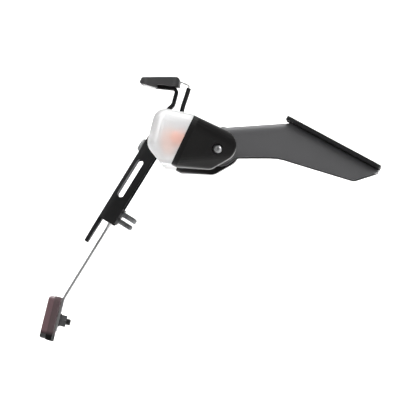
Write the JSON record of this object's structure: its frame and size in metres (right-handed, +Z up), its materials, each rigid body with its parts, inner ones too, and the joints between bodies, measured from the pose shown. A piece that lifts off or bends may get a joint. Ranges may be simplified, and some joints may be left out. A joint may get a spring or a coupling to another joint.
{
  "type": "tail tidy",
  "caption": "Folded sheet bracket that hangs a number plate, plate lamp, rear reflector and indicators below a motorbike's seat unit.",
  "frame": {"origin": "centre of the mounting hole square, on the top face of the mounting plate", "axes": "+X forward along the motorbike, +Y to its left, +Z up, as it is fixed"},
  "size_m": [0.2415, 0.28, 0.1869],
  "materials": {
    "arm_coat": "satin powder coat, dark grey",
    "sheet_coat": "satin powder coat, black",
    "zinc": "bright zinc plate",
    "stay_zinc": "plain zinc plated sheet",
    "moulded_black": "fine textured black plastic",
    "lamp_black": "dark grey textured plastic",
    "rubber": "soft black rubber",
    "clear_plastic": "clear moulded plastic with fine flutes inside",
    "red_plastic": "deep red reflex plastic",
    "bright_bowl": "vacuum plated bright plastic",
    "amber": "amber bulb glass",
    "circuit_board": "green board with pale lamps",
    "pale_nylon": "natural nylon",
    "wire_skin": "light grey wire skin"
  },
  "bodies": {
    "root": {"mount_plate": "sheet_coat", "main_arm": "arm_coat", "arm_screws": "zinc", "arm_nuts": "zinc", "hanger": "sheet_coat", "hanger_bolts": "zinc", "hanger_washers": "zinc", "hanger_nuts": "zinc", "plate_bolts": "zinc", "stay_spacers": "zinc", "plate_washers": "zinc", "plate_nuts": "zinc", "reflector_stay": "stay_zinc", "reflector_base": "moulded_black", "reflector_lens": "red_plastic", "reflector_stud": "zinc", "reflector_washer": "zinc", "reflector_nut": "zinc", "lamp_housing": "lamp_black", "lamp_lens": "clear_plastic", "lamp_board": "circuit_board", "lamp_screws": "zinc", "lamp_wires": "wire_skin", "lead_sleeve": "rubber", "lead_grommet": "rubber", "lead_connector": "pale_nylon", "lead_rivet": "moulded_black", "left_housing": "moulded_black", "left_lens": "clear_plastic", "left_bowl": "bright_bowl", "left_bulb": "amber", "left_bulb_holder": "moulded_black", "left_stem": "rubber", "left_core": "zinc", "left_core_nut": "zinc", "left_clamp_screw": "zinc", "right_housing": "moulded_black", "right_lens": "clear_plastic", "right_bowl": "bright_bowl", "right_bulb": "amber", "right_bulb_holder": "moulded_black", "right_stem": "rubber", "right_core": "zinc", "right_core_nut": "zinc", "right_clamp_screw": "zinc"}
  },
  "joints": []
}
